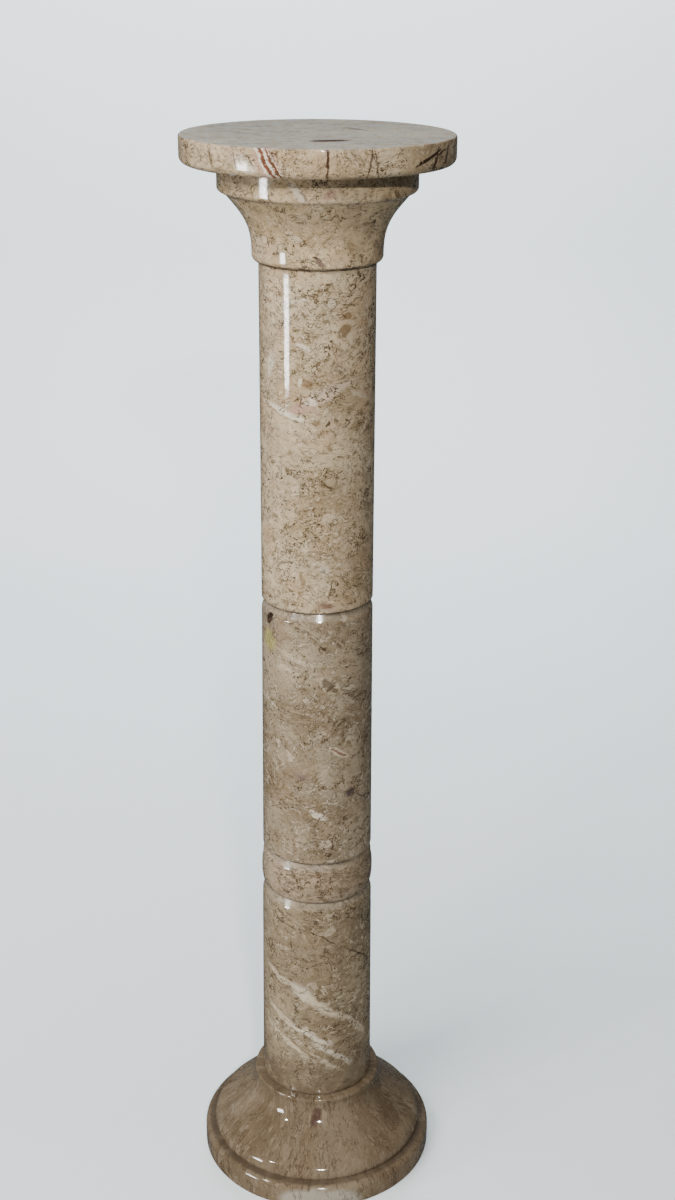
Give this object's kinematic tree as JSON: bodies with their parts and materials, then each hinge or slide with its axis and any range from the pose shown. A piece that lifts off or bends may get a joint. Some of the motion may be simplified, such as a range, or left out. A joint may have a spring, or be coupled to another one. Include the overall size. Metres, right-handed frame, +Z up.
{
  "type": "column",
  "caption": "Round display column of polished beige-brown marble: moulded base, grooved shaft of stacked drums, flared capital and flat round top slab",
  "frame": {"origin": "centre of the round underside of the base, on the floor", "axes": "+Z is up along the column's axis; the column is turned, so +X and +Y are any two level directions at right angles"},
  "size_m": [0.228, 0.228, 1],
  "materials": {
    "base_marble": "polished brown-beige speckled marble",
    "lower_drum_marble": "polished brown-beige marble with cream veins",
    "ring_marble": "polished pinkish brown marble",
    "middle_drum_marble": "polished grey-beige marble",
    "upper_drum_marble": "polished light beige speckled marble",
    "capital_marble": "polished light beige speckled marble",
    "top_slab_marble": "polished beige marble with red and cream veins"
  },
  "bodies": {
    "root": {"base": "base_marble", "lower_drum": "lower_drum_marble", "ring": "ring_marble", "middle_drum": "middle_drum_marble", "upper_drum": "upper_drum_marble", "capital": "capital_marble", "top_slab": "top_slab_marble"}
  },
  "joints": []
}
